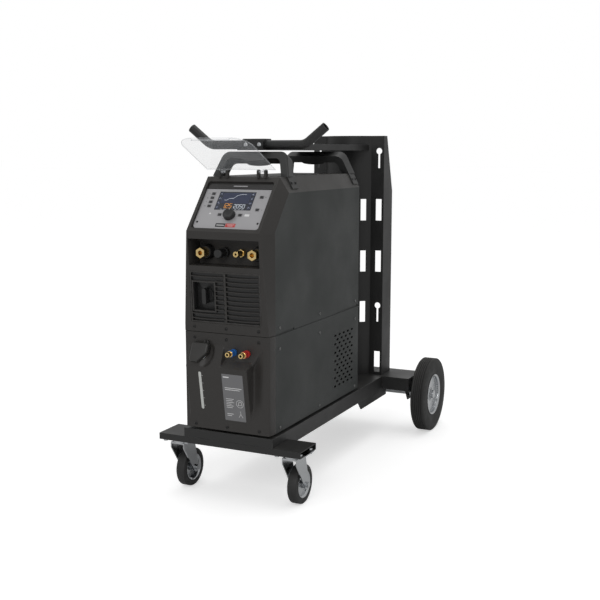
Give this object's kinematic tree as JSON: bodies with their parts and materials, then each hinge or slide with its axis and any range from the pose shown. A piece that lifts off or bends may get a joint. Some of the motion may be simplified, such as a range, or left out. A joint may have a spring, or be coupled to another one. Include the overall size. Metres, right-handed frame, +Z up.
{
  "type": "welding power source on trolley",
  "caption": "Water-cooled inverter welding source on its cooling unit, carried by a wheeled bottle trolley with swivel castors, torch bar and a clear folding visor.",
  "frame": {"origin": "middle of the overall box on the floor, under the welder", "axes": "+X to the right of someone who faces the control panel, -Y towards that person, +Z up"},
  "size_m": [0.589, 1.1538, 1.0484],
  "materials": {
    "black_steel": "satin black powder coat",
    "zinc_steel": "bright zinc plate",
    "tyre_rubber": "ribbed rubber",
    "castor_rubber": "smooth rubber",
    "case_paint": "fine-textured dark grey powder coat",
    "fascia_plastic": "textured dark grey moulding",
    "black_plastic": "matt black moulding",
    "panel_metal": "silver foil-faced plate",
    "screen_glass": "dark glossy window",
    "button_plastic": "dark caps",
    "clear_plastic": "clear smoke-tinted sheet",
    "brass": "turned brass",
    "blue_metal": "blue anodised",
    "red_metal": "red anodised",
    "fin_aluminium": "plain extrusion and fins",
    "core_iron": "varnished laminations",
    "board_green": "green circuit board",
    "tank_plastic": "milky white moulding",
    "pump_paint": "grey enamel"
  },
  "bodies": {
    "trolley": {"bar_arm": "black_steel", "bar_clamp": "black_steel", "black_sockets": "black_plastic", "brass_fittings": "brass", "case_screws": "zinc_steel", "castor_plates": "zinc_steel", "control_board": "board_green", "control_panel": "panel_metal", "coolant_pump": "pump_paint", "coolant_tank": "tank_plastic", "cooler_chassis": "case_paint", "cooler_cover": "case_paint", "cooler_fascia": "fascia_plastic", "display_screen": "screen_glass", "fan_frames": "black_plastic", "frame_brackets": "black_steel", "front_beam": "black_steel", "front_grille": "black_plastic", "front_handle": "black_plastic", "gas_column": "black_steel", "heat_sink": "fin_aluminium", "power_transformer": "core_iron", "radiator": "fin_aluminium", "rear_axle": "zinc_steel", "rear_handle": "black_plastic", "rear_platform": "black_steel", "side_panels": "case_paint", "source_chassis": "case_paint", "source_fascia": "fascia_plastic", "switch_housing": "black_plastic", "top_cover": "case_paint", "torch_bar": "black_steel", "tray": "black_steel", "trolley_fasteners": "zinc_steel"},
    "castor_left": {"castor_fork_left": "zinc_steel"},
    "castor_wheel_left": {"castor_tyre_left": "castor_rubber", "castor_rim_left": "zinc_steel"},
    "rear_wheel_left": {"rear_tyre_left": "tyre_rubber", "rear_rim_left": "zinc_steel"},
    "castor_right": {"castor_fork_right": "zinc_steel"},
    "castor_wheel_right": {"castor_tyre_right": "castor_rubber", "castor_rim_right": "zinc_steel"},
    "rear_wheel_right": {"rear_tyre_right": "tyre_rubber", "rear_rim_right": "zinc_steel"},
    "visor_lid": {"visor": "clear_plastic"},
    "knob": {"encoder_knob": "black_plastic"},
    "switch_bar": {"switch_handle": "black_plastic"},
    "source_rotor": {"source_fan": "black_plastic"},
    "cooler_rotor": {"cooler_fan": "black_plastic"},
    "cap": {"filler_cap": "black_plastic"},
    "sleeve_blue": {"coupler_sleeve_blue": "blue_metal"},
    "sleeve_red": {"coupler_sleeve_red": "red_metal"},
    "key_left_1": {"button_left_1": "button_plastic"},
    "key_left_2": {"button_left_2": "button_plastic"},
    "key_left_3": {"button_left_3": "button_plastic"},
    "key_left_4": {"button_left_4": "button_plastic"},
    "key_right_1": {"button_right_1": "button_plastic"},
    "key_right_2": {"button_right_2": "button_plastic"},
    "key_knob_left": {"button_knob_left": "button_plastic"},
    "key_knob_right": {"button_knob_right": "button_plastic"}
  },
  "joints": [
    {"name": "castor_swivel_left", "type": "hinge", "parent": "trolley", "child": "castor_left", "pos_m": [-0.179, -0.45161, 0.13], "axis": [0, 0, 1], "continuous": true},
    {"name": "castor_roll_left", "type": "hinge", "parent": "castor_left", "child": "castor_wheel_left", "pos_m": [-0.179, -0.41161, 0.0555], "axis": [1, 0, 0], "continuous": true},
    {"name": "rear_roll_left", "type": "hinge", "parent": "trolley", "child": "rear_wheel_left", "pos_m": [-0.2695, 0.44989, 0.127], "axis": [1, 0, 0], "continuous": true},
    {"name": "castor_swivel_right", "type": "hinge", "parent": "trolley", "child": "castor_right", "pos_m": [0.179, -0.45161, 0.13], "axis": [0, 0, 1], "continuous": true},
    {"name": "castor_roll_right", "type": "hinge", "parent": "castor_right", "child": "castor_wheel_right", "pos_m": [0.179, -0.41161, 0.0555], "axis": [1, 0, 0], "continuous": true},
    {"name": "rear_roll_right", "type": "hinge", "parent": "trolley", "child": "rear_wheel_right", "pos_m": [0.2695, 0.44989, 0.127], "axis": [1, 0, 0], "continuous": true},
    {"name": "visor_fold", "type": "hinge", "parent": "trolley", "child": "visor_lid", "pos_m": [0, -0.3993, 0.91661], "axis": [1, 0, 0], "range_deg": [0, 77]},
    {"name": "knob_turn", "type": "hinge", "parent": "trolley", "child": "knob", "pos_m": [0, -0.47992, 0.80439], "axis": [0, -0.7694, 0.6388], "continuous": true},
    {"name": "switch_turn", "type": "hinge", "parent": "trolley", "child": "switch_bar", "pos_m": [-0.066, -0.50681, 0.57986], "axis": [0, -0.9982, -0.0602], "range_deg": [-90, 0]},
    {"name": "source_fan_spin", "type": "hinge", "parent": "trolley", "child": "source_rotor", "pos_m": [0, 0.10689, 0.64], "axis": [0, 1, 0], "continuous": true},
    {"name": "cooler_fan_spin", "type": "hinge", "parent": "trolley", "child": "cooler_rotor", "pos_m": [0, 0.10689, 0.33], "axis": [0, 1, 0], "continuous": true},
    {"name": "cap_lift", "type": "slide", "parent": "trolley", "child": "cap", "axis": [0, -0.924, 0.3824], "range_m": [0, 0.04]},
    {"name": "sleeve_blue_slide", "type": "slide", "parent": "trolley", "child": "sleeve_blue", "axis": [0, 1, 0], "range_m": [0, 0.003], "stiffness_N_per_m": 600, "springref_m": -0.002},
    {"name": "sleeve_red_slide", "type": "slide", "parent": "trolley", "child": "sleeve_red", "axis": [0, 1, 0], "range_m": [0, 0.003], "stiffness_N_per_m": 600, "springref_m": -0.002},
    {"name": "press_left_1", "type": "slide", "parent": "trolley", "child": "key_left_1", "axis": [0, 0.7694, -0.6388], "range_m": [0, 0.001], "stiffness_N_per_m": 400, "springref_m": -0.0005},
    {"name": "press_left_2", "type": "slide", "parent": "trolley", "child": "key_left_2", "axis": [0, 0.7694, -0.6388], "range_m": [0, 0.001], "stiffness_N_per_m": 400, "springref_m": -0.0005},
    {"name": "press_left_3", "type": "slide", "parent": "trolley", "child": "key_left_3", "axis": [0, 0.7694, -0.6388], "range_m": [0, 0.001], "stiffness_N_per_m": 400, "springref_m": -0.0005},
    {"name": "press_left_4", "type": "slide", "parent": "trolley", "child": "key_left_4", "axis": [0, 0.7694, -0.6388], "range_m": [0, 0.001], "stiffness_N_per_m": 400, "springref_m": -0.0005},
    {"name": "press_right_1", "type": "slide", "parent": "trolley", "child": "key_right_1", "axis": [0, 0.7694, -0.6388], "range_m": [0, 0.001], "stiffness_N_per_m": 400, "springref_m": -0.0005},
    {"name": "press_right_2", "type": "slide", "parent": "trolley", "child": "key_right_2", "axis": [0, 0.7694, -0.6388], "range_m": [0, 0.001], "stiffness_N_per_m": 400, "springref_m": -0.0005},
    {"name": "press_knob_left", "type": "slide", "parent": "trolley", "child": "key_knob_left", "axis": [0, 0.7694, -0.6388], "range_m": [0, 0.001], "stiffness_N_per_m": 400, "springref_m": -0.0005},
    {"name": "press_knob_right", "type": "slide", "parent": "trolley", "child": "key_knob_right", "axis": [0, 0.7694, -0.6388], "range_m": [0, 0.001], "stiffness_N_per_m": 400, "springref_m": -0.0005}
  ]
}
